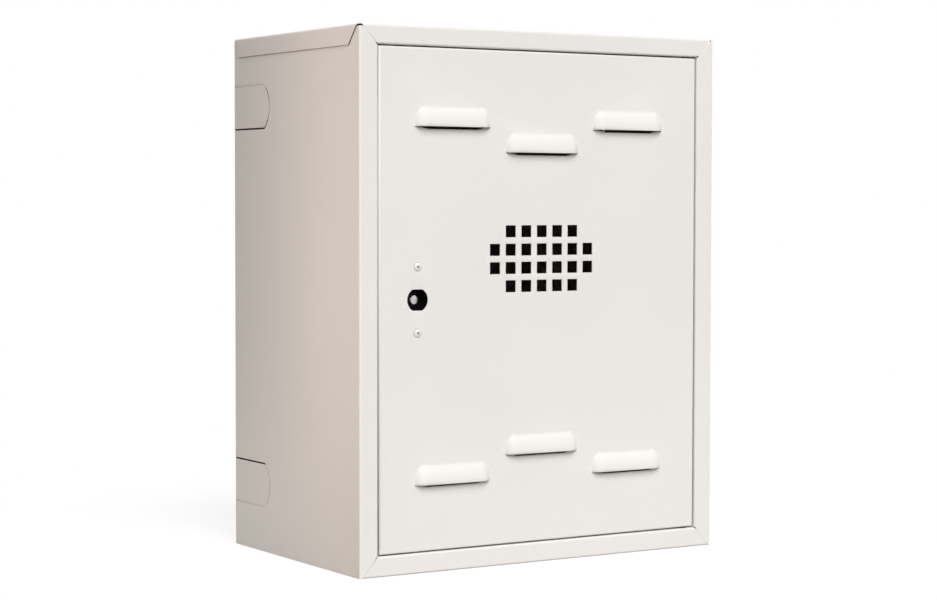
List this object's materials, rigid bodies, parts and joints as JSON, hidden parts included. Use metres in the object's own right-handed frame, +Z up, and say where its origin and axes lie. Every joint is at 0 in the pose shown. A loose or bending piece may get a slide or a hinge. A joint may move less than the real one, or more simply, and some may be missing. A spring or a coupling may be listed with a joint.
{
  "type": "gas meter box",
  "caption": "Painted sheet-steel wall cabinet for a gas meter, with a flush hinged door that has pressed louvres, a square-hole vent and a quarter-turn key lock.",
  "frame": {"origin": "middle of the overall box on the plane of its base, which stands on z = 0; the louvres count in the depth", "axes": "+Z up, +Y back to the wall, the door faces -Y, +X to the hinge side"},
  "size_m": [0.4, 0.2616, 0.5],
  "materials": {
    "paint": "satin powder coat",
    "rivet": "satin",
    "zinc": "zinc plated",
    "lock_black": "matt",
    "nylon": "matt"
  },
  "bodies": {
    "cabinet": {"body_wrap": "paint", "top_cap": "paint", "bottom_pan": "paint"},
    "door": {"door_panel": "paint", "upper_hinge_pin": "zinc", "lower_hinge_pin": "zinc", "hinge_washers": "nylon", "lock_case": "lock_black", "lock_rivets": "rivet"},
    "cam": {"lock_spindle": "zinc", "lock_spring_washer": "zinc", "lock_cam": "zinc", "cam_washer": "zinc", "cam_nut": "zinc"}
  },
  "joints": [
    {"name": "door_hinge", "type": "hinge", "parent": "cabinet", "child": "door", "pos_m": [0.1682, -0.11825, 0.25], "axis": [0, 0, 1], "range_deg": [0, 110]},
    {"name": "lock_turn", "type": "hinge", "parent": "door", "child": "cam", "pos_m": [-0.1387, -0.10685, 0.25115], "axis": [0, 1, 0], "range_deg": [0, 90]}
  ]
}
